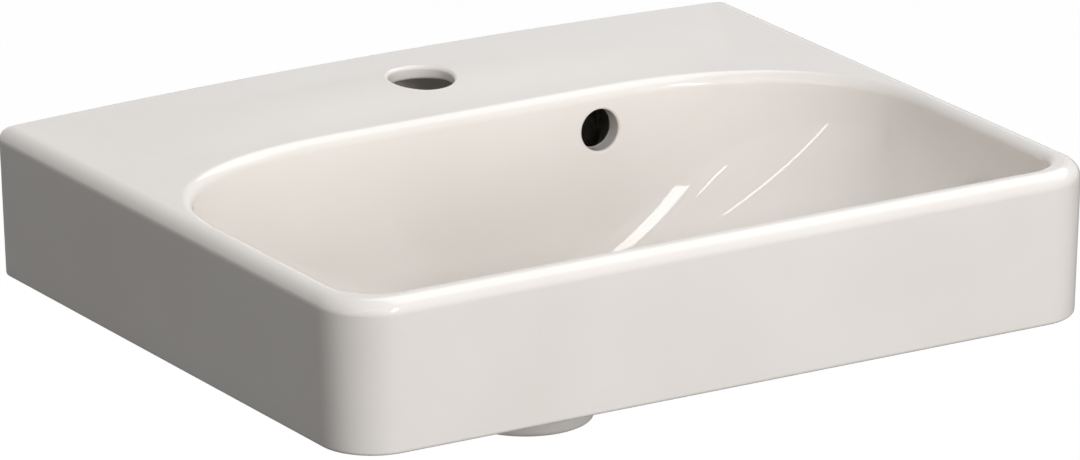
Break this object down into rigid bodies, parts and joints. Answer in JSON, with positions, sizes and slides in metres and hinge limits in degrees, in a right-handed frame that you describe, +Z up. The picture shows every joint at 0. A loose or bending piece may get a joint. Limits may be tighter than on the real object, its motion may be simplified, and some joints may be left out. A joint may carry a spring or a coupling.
{
  "type": "hand basin",
  "caption": "Wall-hung ceramic hand basin with a raised tap deck, an off-centre overflow and a push-open waste.",
  "frame": {"origin": "midway between the two wall fixings, on the flat back face", "axes": "+Y out of the back face into the wall, front of the basin towards -Y, +X along the width towards the overflow, +Z up"},
  "size_m": [0.45, 0.36, 0.1617],
  "materials": {
    "glazed_china": "glossy white glaze",
    "chrome_brass": "polished chrome on brass",
    "plain_brass": "turned brass",
    "zinc_steel": "bright zinc plate",
    "spring_steel": "drawn stainless steel",
    "black_rubber": "moulded rubber",
    "white_nylon": "moulded nylon"
  },
  "bodies": {
    "root": {"ceramic_basin": "glazed_china", "fixing_sleeves": "white_nylon", "fixing_washers": "zinc_steel", "fixing_nuts": "zinc_steel", "waste_body": "chrome_brass", "flange_gasket": "black_rubber", "lower_seal": "black_rubber", "slip_washer": "white_nylon", "ring_nut": "plain_brass", "cartridge_housing": "plain_brass", "cartridge_washer": "black_rubber", "cartridge_bush": "white_nylon", "stem_seal": "black_rubber", "return_spring": "spring_steel"},
    "plug": {"plug_cap": "chrome_brass", "plug_seal": "black_rubber", "plug_carrier": "plain_brass", "plug_lock_nut": "plain_brass", "plunger": "spring_steel"},
    "index": {"index_ring": "white_nylon"}
  },
  "joints": [
    {"name": "plug_slide", "type": "slide", "parent": "root", "child": "plug", "axis": [0, 0, 1], "range_m": [-0.008, 0], "stiffness_N_per_m": 800, "springref_m": 0.01, "deforming": ["return_spring"]},
    {"name": "index_turn", "type": "hinge", "parent": "plug", "child": "index", "pos_m": [0, -0.158, -0.08], "axis": [0, 0, 1], "range_deg": [-60, 0]}
  ],
  "couplings": [
    {"joint": "index_turn", "follows": "plug_slide", "rad_per_m": 130.8}
  ]
}
